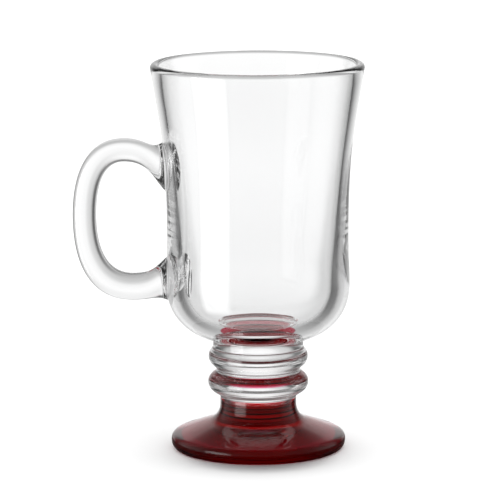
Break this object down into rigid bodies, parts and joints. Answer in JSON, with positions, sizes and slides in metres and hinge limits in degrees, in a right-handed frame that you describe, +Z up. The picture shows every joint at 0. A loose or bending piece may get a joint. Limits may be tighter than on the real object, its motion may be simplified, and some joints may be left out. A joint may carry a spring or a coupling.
{
  "type": "glass cappuccino cup",
  "caption": "Tall footed glass mug with a flared clear bowl, an ear-shaped handle, a stem of round beads and a flared red foot, for hot coffee drinks.",
  "frame": {"origin": "on the mug's axis at the table it stands on, under the middle of the foot", "axes": "+Z up along the mug's axis to the rim, -X towards the handle, -Y towards the camera of the picture"},
  "size_m": [0.1076, 0.0788, 0.144],
  "materials": {
    "clear_glass": "polished",
    "red_glass": "polished"
  },
  "bodies": {
    "root": {"foot": "red_glass", "lower_bead": "clear_glass", "upper_bead": "clear_glass", "collar": "clear_glass", "bowl": "clear_glass", "handle": "clear_glass"}
  },
  "joints": []
}
